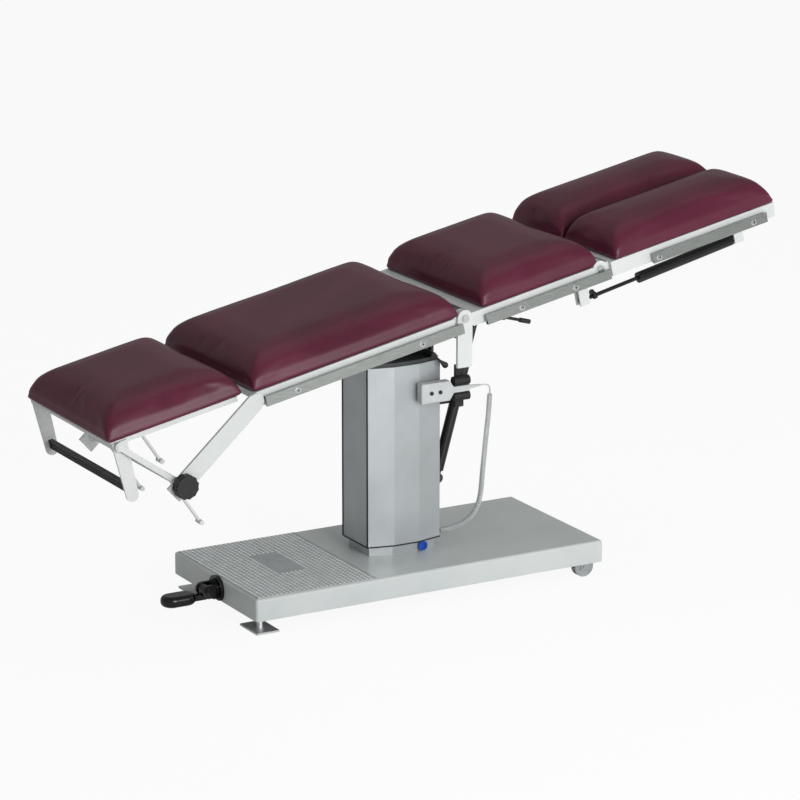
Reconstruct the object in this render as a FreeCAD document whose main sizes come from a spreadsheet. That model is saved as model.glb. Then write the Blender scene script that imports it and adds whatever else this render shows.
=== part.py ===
import FreeCAD, Part
import math
import os
import re
import Sketcher

# Operating table with five cushioned sections on a lifting column, in millimetres.
# +X runs along the table to the leg end, +Y to the far side, +Z up, the floor is z = 0.
# It is drawn from the middle of the base. The written origin is the floor point under the middle
# of the whole table's box, at origin_x, origin_y.
# The table top is drawn level in its own frame, u along it, v across it and w square to it,
# and is then tilted about the axis v through the point above the column's centre.

os.makedirs("parts", exist_ok=True)
doc = FreeCAD.newDocument("operating_table")
sheet = doc.addObject("Spreadsheet::Sheet", "Sheet")
NODES = []


# Driving dimensions, each written once
SIZES = {
    "origin_x": 47.42,
    "origin_y": -7.2,
    "base_length": 1000,
    "base_width": 454,
    "base_height": 57,
    "base_ground": 38,
    "base_wall": 3,
    "base_round": 7,
    "tread_length": 340,
    "tread_border": 8,
    "tread_thick": 1.5,
    "foot_long": 92,
    "foot_wide": 62,
    "foot_thick": 5,
    "foot_in_x": 6,
    "foot_in_y": 10,
    "stem_radius": 8,
    "frame_bar": 40,
    "frame_rise": 6,
    "frame_in": 20,
    "frame_short": 110,
    "frame_before": 120,
    "frame_after": 80,
    "wheel_radius": 27,
    "wheel_wide": 20,
    "wheel_in_x": 46,
    "wheel_in_y": 16,
    "hub_radius": 17,
    "axle_radius": 5,
    "fork_wall": 3,
    "fork_half": 12,
    "fork_low": 8,
    "fork_crown_gap": 3,
    "axle_past": 2,
    "column_centre_x": 5,
    "column_half_x": 105,
    "column_side_y": 64,
    "column_facet_x": 36,
    "column_front_y": 81,
    "column_foot": 26,
    "column_height": 467,
    "column_wall": 3,
    "stage_gap": 8,
    "stage_wall": 5,
    "stage_height": 400,
    "screw_radius": 15,
    "screw_play": 0.3,
    "tube_wall": 9,
    "tube_rise": 60,
    "head_inset": 4,
    "block_above": 20,
    "head_thick": 10,
    "tilt_height": 622,
    "tilt_shaft_radius": 12,
    "trend_height": 680,
    "trend_shaft_radius": 12,
    "bearing_thick": 18,
    "bearing_wide": 64,
    "bearing_x": 84,
    "yoke_half_x": 66,
    "yoke_half_y": 40,
    "yoke_ear_thick": 12,
    "yoke_ear_wide": 60,
    "yoke_below": 10,
    "yoke_block_high": 24,
    "pin_past": 16,
    "shaft_past": 4,
    "drop_above": 18,
    "shaft_play": 0.05,
    "body_play": 0.4,
    "drop_arm_x": 112.6,
    "drop_arm_thick": 7,
    "drop_arm_wide": 30,
    "drop_pivot_x": 136,
    "drop_pivot_z": 258,
    "drop_ear_thick": 5,
    "top_height": 725,
    "tilt": 11.6,
    "bar_top": 4,
    "bar_drop": 34,
    "bar_outer": 244,
    "bar_inner": 222,
    "seat_bar_wide": 17,
    "strut_beam_wide": 40,
    "ear_half": 14,
    "gas_ear_fall": 11,
    "lug_overlap": 4,
    "plate_short": 6,
    "deck_thick": 3,
    "plate_thick": 8,
    "lug_thick": 8,
    "hinge_u": 78,
    "leg_hinge_u": 478,
    "hinge_w": -4,
    "hinge_radius": 20,
    "hinge_pin_radius": 6,
    "hinge_head_radius": 9,
    "hinge_head_thick": 6,
    "hinge_pin_past": 10,
    "middle_pin_half": 16,
    "hinge_gap": 24,
    "swing_gap": 30.5,
    "recess_play": 0.4,
    "lug_wide": 22,
    "lug_below": 14,
    "middle_lug_half": 5,
    "plate_drop": 125,
    "plate_wide": 42,
    "saddle_back": 8,
    "saddle_w": -40,
    "saddle_lug_thick": 10,
    "saddle_lug_radius": 24,
    "saddle_lug_high": 26,
    "saddle_half": 18,
    "saddle_high": 26,
    "rail_high": 25,
    "rail_thick": 10,
    "rail_top": -10,
    "rail_spacer": 6,
    "spacer_radius": 9,
    "spacer_in": 55,
    "seat_rail_start": 130,
    "seat_rail_end": 498,
    "back_rail_start": -498,
    "back_rail_end": 62,
    "leg_rail_start": 625,
    "leg_rail_end": 975,
    "back_start": -520,
    "leg_end": 1010,
    "leg_outer": 248,
    "leg_inner": 4,
    "leg_bar": 18,
    "cross_wide": 30,
    "back_cross_w": -14,
    "back_cross_u": 280,
    "lug_root": 20,
    "cross_drop": 30,
    "pad_thick": 75,
    "pad_wall": 26,
    "pad_foot": 6,
    "pad_mid": 52,
    "pad_high": 67,
    "pad_step": 24,
    "pad_shoulder": 56,
    "pad_crown": 104,
    "pad_half": 250,
    "head_pad_half": 238,
    "leg_pad_half": 259,
    "pad_split": 3,
    "head_start": -914,
    "head_end": -537,
    "back_pad_start": -525,
    "back_pad_end": 69,
    "seat_pad_start": 124,
    "seat_pad_end": 483,
    "leg_pad_start": 514,
    "leg_pad_end": 1016,
    "board_inset": 9,
    "knob_u": -752,
    "knob_w": -152,
    "knob_radius": 31,
    "knob_thick": 26,
    "knob_lobe": 3,
    "knob_lobes": 12,
    "knob_edge": 3,
    "knob_bore_deep": 8,
    "arm_wide": 46,
    "arm_thick": 8,
    "arm_past": 34,
    "arm_root_w": -16,
    "arm_root_radius": 20,
    "link_wide": 14,
    "link_thick": 6,
    "link_eye_radius": 11,
    "link_top_u": -886,
    "link_top_w": -8,
    "shaft_radius": 9,
    "head_bar": 16,
    "head_frame_in": 14,
    "head_frame_end": 20,
    "link_boss_radius": 15,
    "shaft_beyond": 4,
    "pin_beyond": 2,
    "head_half": 226,
    "head_drop": 8,
    "handle_wide": 40,
    "handle_narrow": 32,
    "handle_drop": 140,
    "handle_thick": 6,
    "handle_lean": 4,
    "grip_grooves": 4,
    "groove_high": 2,
    "grip_high": 22,
    "grip_rise": 15,
    "grip_thick": 12,
    "grip_groove": 2.2,
    "rod_radius": 4,
    "rod_cap_radius": 6,
    "rod_cap_half": 13,
    "rod_reach": 153,
    "rod_lean": 67.5,
    "link_rod_v": 165,
    "head_rod_v": 150,
    "head_rod_u": -800,
    "head_rod_reach": 118,
    "gas_v": 224,
    "gas_radius": 14,
    "gas_rod_radius": 5,
    "gas_seat_u": 424,
    "gas_seat_w": -76,
    "gas_leg_u": 900,
    "gas_leg_w": -62,
    "gas_body": 290,
    "gas_stroke": 128,
    "gas_collar_long": 8,
    "gas_end_gap": 18,
    "gas_pin_radius": 5,
    "gas_eye_radius": 10,
    "gas_eye_half": 6,
    "gas_ear_thick": 5,
    "gas_beam_half": 20,
    "gas_rod_in": 24,
    "gas_bore_end": 28,
    "gas_collar_wall": 4,
    "release_back": 34,
    "release_radius": 11,
    "release_thick": 6,
    "neck_half": 4,
    "neck_overlap": 4,
    "act_radius": 14,
    "act_body": 310,
    "act_rod_radius": 7.5,
    "act_pin_radius": 6,
    "act_top_x": 268,
    "act_top_z": 718,
    "act_eye_radius": 13,
    "act_eye_half": 8,
    "act_play": 4.4,
    "act_end_gap": 20,
    "act_bore_start": 160,
    "act_rod_in": 40,
    "act_neck_half": 6,
    "lever_u": 190,
    "lever_w": -41.3,
    "lever_v": 228,
    "lever_radius": 4,
    "lever_reach": 72,
    "lever_fall": 37,
    "lever_grip": 30,
    "lever_grip_radius": 6,
    "lever_boss_wall": 3,
    "lever_boss_half": 6,
    "handset_y": -100,
    "handset_thick": 24,
    "handset_left": 30,
    "handset_right": 124,
    "handset_low": 490,
    "handset_high": 542,
    "neck_end": 172,
    "neck_high": 16,
    "handset_taper": 12,
    "handset_round": 3,
    "button_radius": 5,
    "button_proud": 2.5,
    "button_gap": 25,
    "jaw_radius": 12,
    "clamp_back": 32,
    "clamp_wide": 24,
    "clamp_thick": 8,
    "clamp_low": 26,
    "clamp_high": 32,
    "clamp_arm_y": -60,
    "clamp_arm_low": 22,
    "clamp_arm_thick": 10,
    "clamp_arm_high": 12,
    "jaw_in": 3,
    "neck_thin": 3,
    "neck_root": 5,
    "neck_room": 0.5,
    "button_left": 6,
    "well_deep": 7,
    "button_foot": 4,
    "relief_long": 34,
    "relief_big": 5,
    "relief_small": 3,
    "lead_radius": 2.2,
    "coil_radius": 8,
    "gland_y": -46,
    "gland_rise": 10,
    "gland_wall": 2,
    "gland_thick": 6,
    "pedal_z": 68,
    "pedal_y": -20,
    "flange_radius": 34,
    "flange_thick": 10,
    "boss_radius": 26,
    "boss_long": 6,
    "neck_radius": 20,
    "neck_long": 5,
    "pedal_ear_radius": 17,
    "pedal_ear_thick": 7,
    "pedal_reach": 30,
    "pedal_sleeve_wall": 5,
    "pedal_arm_in": 16,
    "pedal_arm_wide": 16,
    "pedal_arm_high": 14,
    "pedal_arm_drop": 22,
    "pedal_room": 0.3,
    "flange_flat": 4,
    "pedal_pin_x": 536,
    "pedal_pin_radius": 9,
    "pedal_pin_half": 22,
    "pedal_pad_long": 91,
    "pedal_pad_wide": 56,
    "pedal_pad_thick": 28,
    "pedal_fall": 12,
    "pedal_round": 12,
    "socket_x": 54.9,
    "socket_z": 108,
    "socket_radius": 12.4,
    "socket_rim": 4,
    "socket_deep": 7,
    "knob_lever_x": 82,
    "knob_lever_z": 606,
    "knob_lever_y": -76,
    "knob_lever_reach": 36,
    "knob_lever_fall": 32,
    "knob_lever_radius": 3,
    "knob_lever_wall": 4,
    "teardrop_radius": 8,
    "teardrop_long": 18,
}


def fill_sheet():
    """Put each size into the sheet under its own alias."""
    for row, (alias, value) in enumerate(SIZES.items(), 1):
        sheet.set(f"A{row}", alias)
        sheet.set(f"B{row}", str(value))
        sheet.setAlias(f"B{row}", alias)


fill_sheet()
doc.recompute()


def val(alias):
    """The value of a driving dimension."""
    return SIZES[alias]


def known(text):
    """An expression in which each alias names its cell."""
    return re.sub(r"[a-z][a-z_]*", lambda m: "Sheet." + m[0] if m[0] in SIZES else m[0], str(text))


def number(text):
    """What an expression of aliases comes to."""
    return float(sheet.evalExpression(known(text)))


def bind(obj, prop, text):
    """Bind a property to an expression of sheet aliases."""
    obj.setExpression(prop, known(text))


def put(obj, x, y, z):
    """Bind an object's place."""
    bind(obj, "Placement.Base.x", x)
    bind(obj, "Placement.Base.y", y)
    bind(obj, "Placement.Base.z", z)
    return obj


def box(x, y, z, long, wide, high):
    """A block from its lowest corner and its three sizes."""
    made = doc.addObject("Part::Box", "block")
    bind(made, "Length", long)
    bind(made, "Width", wide)
    bind(made, "Height", high)
    return put(made, x, y, z)


TURNS = {
    "X": FreeCAD.Rotation(FreeCAD.Vector(0, 1, 0), 90),
    "Y": FreeCAD.Rotation(FreeCAD.Vector(1, 0, 0), -90),
    "Z": FreeCAD.Rotation(),
}


def rod(axis, x, y, z, radius, length):
    """A round bar that starts at a point and runs along +X, +Y or +Z."""
    made = doc.addObject("Part::Cylinder", "bar")
    bind(made, "Radius", radius)
    bind(made, "Height", length)
    made.Placement = FreeCAD.Placement(FreeCAD.Vector(), TURNS[axis])
    return put(made, x, y, z)


def cone(axis, x, y, z, first, last, length):
    """A tapering round bar that starts at a point and runs along +X, +Y or +Z."""
    made = doc.addObject("Part::Cone", "taper")
    bind(made, "Radius1", first)
    bind(made, "Radius2", last)
    bind(made, "Height", length)
    made.Placement = FreeCAD.Placement(FreeCAD.Vector(), TURNS[axis])
    return put(made, x, y, z)


def ball(x, y, z, radius):
    """A sphere about a point."""
    made = doc.addObject("Part::Sphere", "ball")
    bind(made, "Radius", radius)
    return put(made, x, y, z)


def slant(made, angle):
    """Turn a drawn piece about the axis v through its own place."""
    made.Placement = FreeCAD.Placement(FreeCAD.Vector(), FreeCAD.Rotation(FreeCAD.Vector(0, 1, 0), 1))
    bind(made, "Placement.Rotation.Angle", angle)
    return made


def fuse(*pieces):
    """One solid from several that meet or overlap."""
    made = doc.addObject("Part::MultiFuse", "joined")
    made.Shapes = list(pieces)
    made.Refine = True
    return made


def group(*pieces):
    """Separate like solids that share one node."""
    made = doc.addObject("Part::Compound", "set")
    made.Links = list(pieces)
    return made


def cut(base, *tools):
    """A solid less its holes and recesses."""
    made = doc.addObject("Part::Cut", "cut")
    made.Base = base
    made.Tool = tools[0] if len(tools) == 1 else group(*tools)
    return made


def mirror(piece):
    """The same piece on the far side."""
    made = doc.addObject("Part::Mirroring", "mirrored")
    made.Source = piece
    made.Normal = (0, 1, 0)
    return made


def node(name, made):
    """Name a finished sub-part, move it to the written origin and keep it."""
    made = put(group(made), "-origin_x", "-origin_y", 0)
    made.Label = name
    NODES.append(made)
    return made


def on_top(name, made):
    """A sub-part drawn in the level table frame, tilted into place."""
    carrier = group(made)
    slant(carrier, "-tilt")
    bind(carrier, "Placement.Base.z", "top_height")
    return node(name, carrier)


# Sketch helpers for the pieces that are padded, lofted or revolved
def plane(body, role):
    """One of a body's own origin planes."""
    return next(f for f in body.Origin.OriginFeatures if f.Role == role)


def sketch_on(body, role, name, rise=None):
    """An empty sketch on an origin plane, raised by a bound distance."""
    made = body.newObject("Sketcher::SketchObject", name)
    made.AttachmentSupport = [(plane(body, role), "")]
    made.MapMode = "FlatFace"
    if rise is not None:
        bind(made, "AttachmentOffset.Base.z", rise)
    return made


def outline(sketch, points):
    """A closed outline whose corners are bound to (x, y) expressions of one sign each."""
    count = len(points)
    numbers = [tuple(number(p) for p in pair) for pair in points]
    for n in range(count):
        a, b = numbers[n], numbers[(n + 1) % count]
        sketch.addGeometry(Part.LineSegment(FreeCAD.Vector(*a, 0), FreeCAD.Vector(*b, 0)))
    for n in range(count):
        sketch.addConstraint(Sketcher.Constraint("Coincident", n, 2, (n + 1) % count, 1))
    for n, pair in enumerate(points):
        for kind, text, size in zip(("DistanceX", "DistanceY"), pair, numbers[n]):
            fixed = sketch.addConstraint(Sketcher.Constraint(kind, -1, 1, n, 1, size))
            bind(sketch, f"Constraints[{fixed}]", text)


def extrude(body, sketch, length):
    """A pad of a sketch."""
    made = body.newObject("PartDesign::Pad", "Pad")
    made.Profile = sketch
    bind(made, "Length", length)
    return made


def prism(points, z, height, role="XY_Plane"):
    """A body: one outline, padded, with its foot at a bound height."""
    body = doc.addObject("PartDesign::Body", "body")
    sketch = sketch_on(body, role, "profile")
    outline(sketch, points)
    extrude(body, sketch, height)
    bind(body, "Placement.Base.z", z)
    return body


def rounding(base, edges, alias):
    """A solid with some of its edges rounded by a driving radius."""
    made = doc.addObject("Part::Fillet", "rounded")
    made.Base = base
    made.Edges = [(n, val(alias), val(alias)) for n in edges]
    return made


def rectangle(x, y):
    """The four corners of a rectangle about the origin, from its half sizes."""
    return [(f"-({x})", f"-({y})"), (x, f"-({y})"), (x, y), (f"-({x})", y)]


# Base: a pressed steel cover over a frame, feet at the head end and two wheels at the leg end
def base():
    half_x, half_y = "base_length / 2", "base_width / 2"
    shell = prism(rectangle(half_x, half_y), "base_ground", "base_height")
    doc.recompute()
    edges = [n + 1 for n, e in enumerate(shell.Shape.Edges) if e.BoundBox.ZMax > val("base_ground") + 1]
    shell = rounding(shell, edges, "base_round")
    hollow = box(f"-{half_x} + base_wall", f"-{half_y} + base_wall", "base_ground - 1",
                 "base_length - 2 * base_wall", "base_width - 2 * base_wall", "base_height + 1 - base_wall")
    node("base_cover", cut(shell, hollow))
    inner = "base_width / 2 - base_wall - body_play"
    low, high = "base_ground + frame_rise", "base_height - base_wall - frame_rise - body_play"
    bars = []
    for y in (f"-({inner})", f"{inner} - frame_bar"):
        bars.append(box("-base_length / 2 + frame_in", y, low, "base_length - frame_short", "frame_bar", high))
    for x in ("-base_length / 2 + frame_in", "column_centre_x - frame_before", "column_centre_x + frame_after"):
        bars.append(box(x, f"-({inner})", low, "frame_bar", f"2 * ({inner})", high))
    node("base_frame", fuse(*bars))
    mat = box("-base_length / 2 + tread_border", "-base_width / 2 + tread_border", "base_ground + base_height",
              "tread_length - tread_border", "base_width - 2 * tread_border", "tread_thick")
    node("tread_mat", mat)
    plates, stems = [], []
    for side in ("-1", "1"):
        x0 = "-base_length / 2 + foot_in_x"
        y0 = f"{side} * (base_width / 2 - foot_in_y - foot_long / 2)"
        plates.append(box(x0, f"{y0} - foot_long / 2", 0, "foot_wide", "foot_long", "foot_thick"))
        stems.append(rod("Z", f"{x0} + foot_wide / 2", y0, "foot_thick", "stem_radius",
                         "base_ground + frame_rise - foot_thick"))
    node("foot_plates", group(*plates))
    node("foot_stems", group(*stems))
    wheels()


def wheels():
    """Two fixed wheels under the leg end, each a tyre on a hub between the cheeks of a fork."""
    forks = []
    x = "base_length / 2 - wheel_in_x"
    for side, name in (("-1", "near"), ("1", "far")):
        y = f"{side} * (base_width / 2 - wheel_in_y - wheel_wide / 2)"
        start = f"{y} - wheel_wide / 2"
        tyre = cut(rod("Y", x, start, "wheel_radius", "wheel_radius", "wheel_wide"),
                   rod("Y", x, f"{start} - 1", "wheel_radius", "hub_radius", "wheel_wide + 2"))
        hub = cut(rod("Y", x, start, "wheel_radius", "hub_radius", "wheel_wide"),
                  rod("Y", x, f"{start} - 1", "wheel_radius", "axle_radius + shaft_play", "wheel_wide + 2"))
        node(f"{name}_tyre", tyre)
        node(f"{name}_hub", hub)
        cheek = "wheel_wide / 2 + body_play"
        top = "base_height - base_wall - body_play"
        low, high = "wheel_radius - fork_low", f"base_ground + {top} - wheel_radius + fork_low"
        cheeks = [box(f"{x} - fork_half", start, low, "2 * fork_half", "fork_wall", high)
                  for start in (f"{y} - ({cheek}) - fork_wall", f"{y} + {cheek}")]
        crown = box(f"{x} - fork_half", f"{y} - ({cheek})", "2 * wheel_radius + fork_crown_gap", "2 * fork_half",
                    f"2 * ({cheek})", f"base_ground + {top} - 2 * wheel_radius - fork_crown_gap")
        axle = rod("Y", x, f"{y} - ({cheek}) - fork_wall - axle_past", "wheel_radius", "axle_radius",
                   f"2 * ({cheek} + fork_wall + axle_past)")
        forks.append(fuse(*cheeks, crown, axle))
    node("wheel_forks", group(*forks))


def pedal():
    """The foot pedal on the head end of the base."""
    x = "-base_length / 2"
    flange = rod("X", f"{x} - flange_thick", "pedal_y", "pedal_z", "flange_radius", "flange_thick")
    trim = box(f"{x} - flange_thick - 1", "pedal_y - flange_radius - 1", 0, "flange_thick + 2",
               "2 * flange_radius + 2", "base_ground + flange_flat")
    boss = rod("X", f"{x} - flange_thick - boss_long", "pedal_y", "pedal_z", "boss_radius", "boss_long")
    neck = rod("X", f"{x} - flange_thick - boss_long - neck_long", "pedal_y", "pedal_z", "neck_radius",
               "neck_long")
    ears = []
    for y in ("pedal_y - pedal_pin_half", "pedal_y + pedal_pin_half - pedal_ear_thick"):
        ears.append(rod("Y", "-pedal_pin_x", y, "pedal_z", "pedal_ear_radius", "pedal_ear_thick"))
        ears.append(box("-pedal_pin_x", y, "pedal_z - pedal_ear_radius", "pedal_pin_x - base_length / 2 - flange_thick",
                        "pedal_ear_thick", "2 * pedal_ear_radius"))
    pin = rod("Y", "-pedal_pin_x", "pedal_y - pedal_pin_half - 3", "pedal_z", "pedal_pin_radius",
              "2 * pedal_pin_half + 6")
    node("pedal_mount", fuse(cut(flange, trim), boss, neck, pin, *ears))
    room = "2 * (pedal_pin_half - pedal_ear_thick - body_play)"
    sleeve = rod("Y", "-pedal_pin_x", f"pedal_y - ({room}) / 2", "pedal_z", "pedal_pin_radius + pedal_sleeve_wall", room)
    arm = box("-pedal_pin_x - pedal_reach - pedal_arm_in", "pedal_y - pedal_arm_wide / 2",
              "pedal_z - pedal_arm_drop", "pedal_reach + pedal_arm_in", "pedal_arm_wide", "pedal_arm_high")
    bore = rod("Y", "-pedal_pin_x", "pedal_y - pedal_pin_half", "pedal_z", "pedal_pin_radius + shaft_play",
               "2 * pedal_pin_half")
    node("pedal_arm", cut(fuse(sleeve, arm), bore))
    half, round_x = "pedal_pad_wide / 2", "-pedal_pin_x - pedal_reach"
    low = "pedal_z - pedal_fall - pedal_pad_thick / 2"
    slab = fuse(rod("Z", f"{round_x} - {half}", "pedal_y", low, half, "pedal_pad_thick"),
                rod("Z", f"{round_x} - pedal_pad_long + {half}", "pedal_y", low, half, "pedal_pad_thick"),
                box(f"{round_x} - pedal_pad_long + {half}", f"pedal_y - {half}", low,
                    "pedal_pad_long - pedal_pad_wide", "pedal_pad_wide", "pedal_pad_thick"))
    doc.recompute()
    flat = [n + 1 for n, e in enumerate(slab.Shape.Edges) if e.BoundBox.ZLength < 1]
    lump = rounding(slab, flat, "pedal_round")
    slot = box("-pedal_pin_x - pedal_reach - pedal_arm_in - pedal_room", "pedal_y - pedal_arm_wide / 2 - pedal_room",
               "pedal_z - pedal_arm_drop - pedal_room", "pedal_reach + pedal_arm_in",
               "pedal_arm_wide + 2 * pedal_room", "pedal_arm_high + 2 * pedal_room")
    node("pedal_pad", cut(lump, slot))


# Column: an eight-sided cover that rises over a fixed stage
def ring(grow):
    """The column's outline, offset inwards by a distance."""
    x, s, f, y = "column_half_x", "column_side_y", "column_facet_x", "column_front_y"
    points = [(f"{x} - ({grow})", f"{s} - ({grow})"), (f, f"{y} - ({grow})")]
    far = points + [(f"-({a})", b) for a, b in reversed(points)]
    return far + [(a, f"-({b})") for a, b in reversed(far)]


def column():
    cover = prism(ring("0"), "base_ground + base_height + column_foot", "column_height")
    room = prism(ring("column_wall"), "base_ground + base_height + column_foot - 1",
                 "column_height + 1 - column_wall")
    for piece in (cover, room):
        bind(piece, "Placement.Base.x", "column_centre_x")
    node("column_cover", cut(cover, room))
    low = "base_ground + base_height"
    stage = prism(ring("column_wall + stage_gap"), low, "stage_height")
    stage_room = prism(ring("column_wall + stage_gap + stage_wall"), f"{low} - 1", "stage_height + 2")
    for piece in (stage, stage_room):
        bind(piece, "Placement.Base.x", "column_centre_x")
    node("column_stage", cut(stage, stage_room))
    socket(stage)
    node("lift_screw", rod("Z", "column_centre_x", 0, low, "screw_radius", "stage_height"))
    tube_low = f"{low} + column_foot + tube_rise"
    tube_high = f"{low} + column_foot + column_height - column_wall"
    node("lift_tube", cut(
        rod("Z", "column_centre_x", 0, tube_low, "screw_radius + tube_wall", f"{tube_high} - ({tube_low})"),
        rod("Z", "column_centre_x", 0, f"{tube_low} - 1", "screw_radius + screw_play", f"{tube_high} - ({tube_low})")))
    top = f"{low} + column_foot + column_height"
    plate = prism(ring("head_inset"), top, "head_thick")
    bind(plate, "Placement.Base.x", "column_centre_x")
    blocks = []
    for x in ("-bearing_x - bearing_thick / 2", "bearing_x - bearing_thick / 2"):
        blocks.append(box(x, "-bearing_wide / 2", top, "bearing_thick", "bearing_wide",
                          f"tilt_height + block_above - ({top})"))
    bore = rod("X", "-bearing_x - bearing_thick", 0, "tilt_height", "tilt_shaft_radius + shaft_play",
               "2 * (bearing_x + bearing_thick)")
    node("column_head", cut(fuse(plate, *blocks), bore))


def socket(stage):
    """The blue earthing socket that stands out of the stage's near face, below the cover."""
    face = "-column_front_y"
    ring_piece = rod("Y", "socket_x", f"{face} + 4", "socket_z", "socket_radius", "column_front_y / 2")
    hole = rod("Y", "socket_x", face, "socket_z", "socket_radius - socket_rim", "socket_deep")
    node("equalising_socket", cut(ring_piece, stage, hole))


def yoke():
    """The lateral tilt yoke, its shaft, and the arm that carries the tilt strut's foot."""
    bottom = "tilt_height - yoke_below"
    block = box("-yoke_half_x", "-yoke_half_y", bottom, "2 * yoke_half_x", "2 * yoke_half_y", "yoke_block_high")
    ears = []
    for y in ("-yoke_half_y - yoke_ear_thick", "yoke_half_y"):
        ears.append(box("-yoke_ear_wide / 2", y, bottom, "yoke_ear_wide", "yoke_ear_thick",
                        f"trend_height - ({bottom})"))
        ears.append(rod("Y", 0, y, "trend_height", "yoke_ear_wide / 2", "yoke_ear_thick"))
    shaft = rod("X", "-bearing_x - bearing_thick / 2 - shaft_past", 0, "tilt_height", "tilt_shaft_radius",
                "drop_arm_x + drop_arm_thick + bearing_x + bearing_thick / 2 + shaft_past")
    pin = rod("Y", 0, "-yoke_half_y - yoke_ear_thick - pin_past", "trend_height", "trend_shaft_radius",
              "2 * (yoke_half_y + yoke_ear_thick + pin_past)")
    node("tilt_yoke", fuse(block, *ears, shaft, pin))
    x = "drop_arm_x"
    arm = box(x, "-drop_arm_wide / 2", "drop_pivot_z - act_eye_radius", "drop_arm_thick", "drop_arm_wide",
              "tilt_height + drop_above - drop_pivot_z + act_eye_radius")
    hole = rod("X", f"{x} - 1", 0, "tilt_height", "tilt_shaft_radius", "drop_arm_thick + 2")
    ears = []
    for y in ("-act_eye_half - body_play - drop_ear_thick", "act_eye_half + body_play"):
        ears.append(box("drop_arm_x", y, "drop_pivot_z - act_eye_radius", "drop_pivot_x - drop_arm_x", "drop_ear_thick",
                        "2 * act_eye_radius"))
        ears.append(rod("Y", "drop_pivot_x", y, "drop_pivot_z", "act_eye_radius", "drop_ear_thick"))
    pivot = rod("Y", "drop_pivot_x", "-act_eye_half - body_play - drop_ear_thick", "drop_pivot_z",
                "act_pin_radius", "2 * (act_eye_half + body_play + drop_ear_thick)")
    node("drop_arm", fuse(cut(arm, hole), *ears, pivot))


def beam(u0, w0, u1, w1, v, wide, high, past="0"):
    """A flat bar along a line in the u-w plane, centred on it, from one point to past the other."""
    du, dw = f"({u1}) - ({u0})", f"({w1}) - ({w0})"
    bar = box(0, 0, f"-({high}) / 2", f"sqrt(({du}) ^ 2 + ({dw}) ^ 2) + {past}", wide, high)
    carrier = slant(group(bar), f"-atan2({dw}; {du})")
    return put(carrier, u0, v, w0)


def along(u0, w0, u1, w1, v, *pieces):
    """Pieces drawn along +X, laid on a line in the u-w plane."""
    carrier = slant(group(*pieces), f"-atan2(({w1}) - ({w0}); ({u1}) - ({u0}))")
    return put(carrier, u0, v, w0)


def disc(u, w, v, radius, thick):
    """A round boss about the axis v."""
    return rod("Y", u, v, w, radius, thick)


# Table top, drawn level: the seat section is fixed, the others hinge on it
PIVOT_U = "-(top_height - trend_height) * sin(tilt * 1 deg)"
PIVOT_W = "-(top_height - trend_height) * cos(tilt * 1 deg)"
FACE = "bar_outer - plate_thick"


def both(maker):
    """A near-side piece from its maker, with its mirror image."""
    near = maker()
    return [near, mirror(near)]


def seat():
    inner = f"{FACE} - lug_thick - body_play"
    start, end = "hinge_u + hinge_gap", "leg_hinge_u - hinge_gap"
    tongue = f"-({inner})"

    def bars():
        return fuse(
            box(start, f"-({FACE})", "-bar_drop", f"{end} - ({start})", "seat_bar_wide", "bar_drop + bar_top"),
            box("hinge_u", tongue, "hinge_w - lug_below", "hinge_gap + lug_overlap", "lug_thick", "lug_wide"),
            disc("hinge_u", "hinge_w", tongue, "hinge_radius", "lug_thick"),
            box(f"{end} - lug_overlap", tongue, "hinge_w - lug_below", "hinge_gap + lug_overlap", "lug_thick", "lug_wide"),
            disc("leg_hinge_u", "hinge_w", tongue, "hinge_radius", "lug_thick"),
            gas_ears("gas_seat_u", "gas_seat_w"))
    crosses = [box(u, f"-({FACE})", "-bar_drop", "cross_wide", f"2 * ({FACE})", "cross_drop")
               for u in (start, f"{end} - cross_wide")]
    deck = box(start, f"-({FACE})", "bar_top - deck_thick", f"{end} - ({start})", f"2 * ({FACE})", "deck_thick")
    strut_u = "act_top_x * cos(tilt * 1 deg) - (top_height - act_top_z) * sin(tilt * 1 deg)"
    strut_w = "-act_top_x * sin(tilt * 1 deg) - (top_height - act_top_z) * cos(tilt * 1 deg)"
    beam_mid = box(f"{strut_u} - strut_beam_wide / 2", f"-({FACE})", "-bar_drop", "strut_beam_wide", f"2 * ({FACE})", "cross_drop")
    ears = [box(f"{strut_u} - ear_half", v, f"{strut_w} - ear_half", "2 * ear_half", "drop_ear_thick",
                f"-bar_drop - ({strut_w}) + ear_half")
            for v in ("-act_eye_half - body_play - drop_ear_thick", "act_eye_half + body_play")]
    pin = disc(strut_u, strut_w, "-act_eye_half - body_play - drop_ear_thick", "act_pin_radius",
               "2 * (act_eye_half + body_play + drop_ear_thick)")
    middle = [box(f"{end} - lug_overlap", "-middle_lug_half", "hinge_w - lug_below", "hinge_gap + lug_overlap", "2 * middle_lug_half",
                  "lug_wide"),
              disc("leg_hinge_u", "hinge_w", "-middle_lug_half", "hinge_radius", "2 * middle_lug_half")]
    whole = fuse(*both(bars), *crosses, deck, beam_mid, *ears, pin, *middle)
    bores = [disc(u, "hinge_w", f"-({FACE}) - 1", "hinge_pin_radius + shaft_play", f"2 * ({FACE}) + 2")
             for u in ("hinge_u", "leg_hinge_u")]
    on_top("seat_frame", cut(whole, *bores))
    side_plates()
    saddle()
    rails("seat", "seat_rail_start", "seat_rail_end", "bar_outer")
    middle_room = disc("leg_hinge_u", "hinge_w", "-middle_lug_half - lug_thick - 2 * recess_play",
                       "hinge_radius + recess_play", "2 * (middle_lug_half + lug_thick + 2 * recess_play)")
    cushion("seat_pad", "seat_pad_start", "seat_pad_end", "-pad_half", "pad_half",
            *recesses("leg_hinge_u", "hinge_radius"), middle_room)
    bolts()


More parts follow.
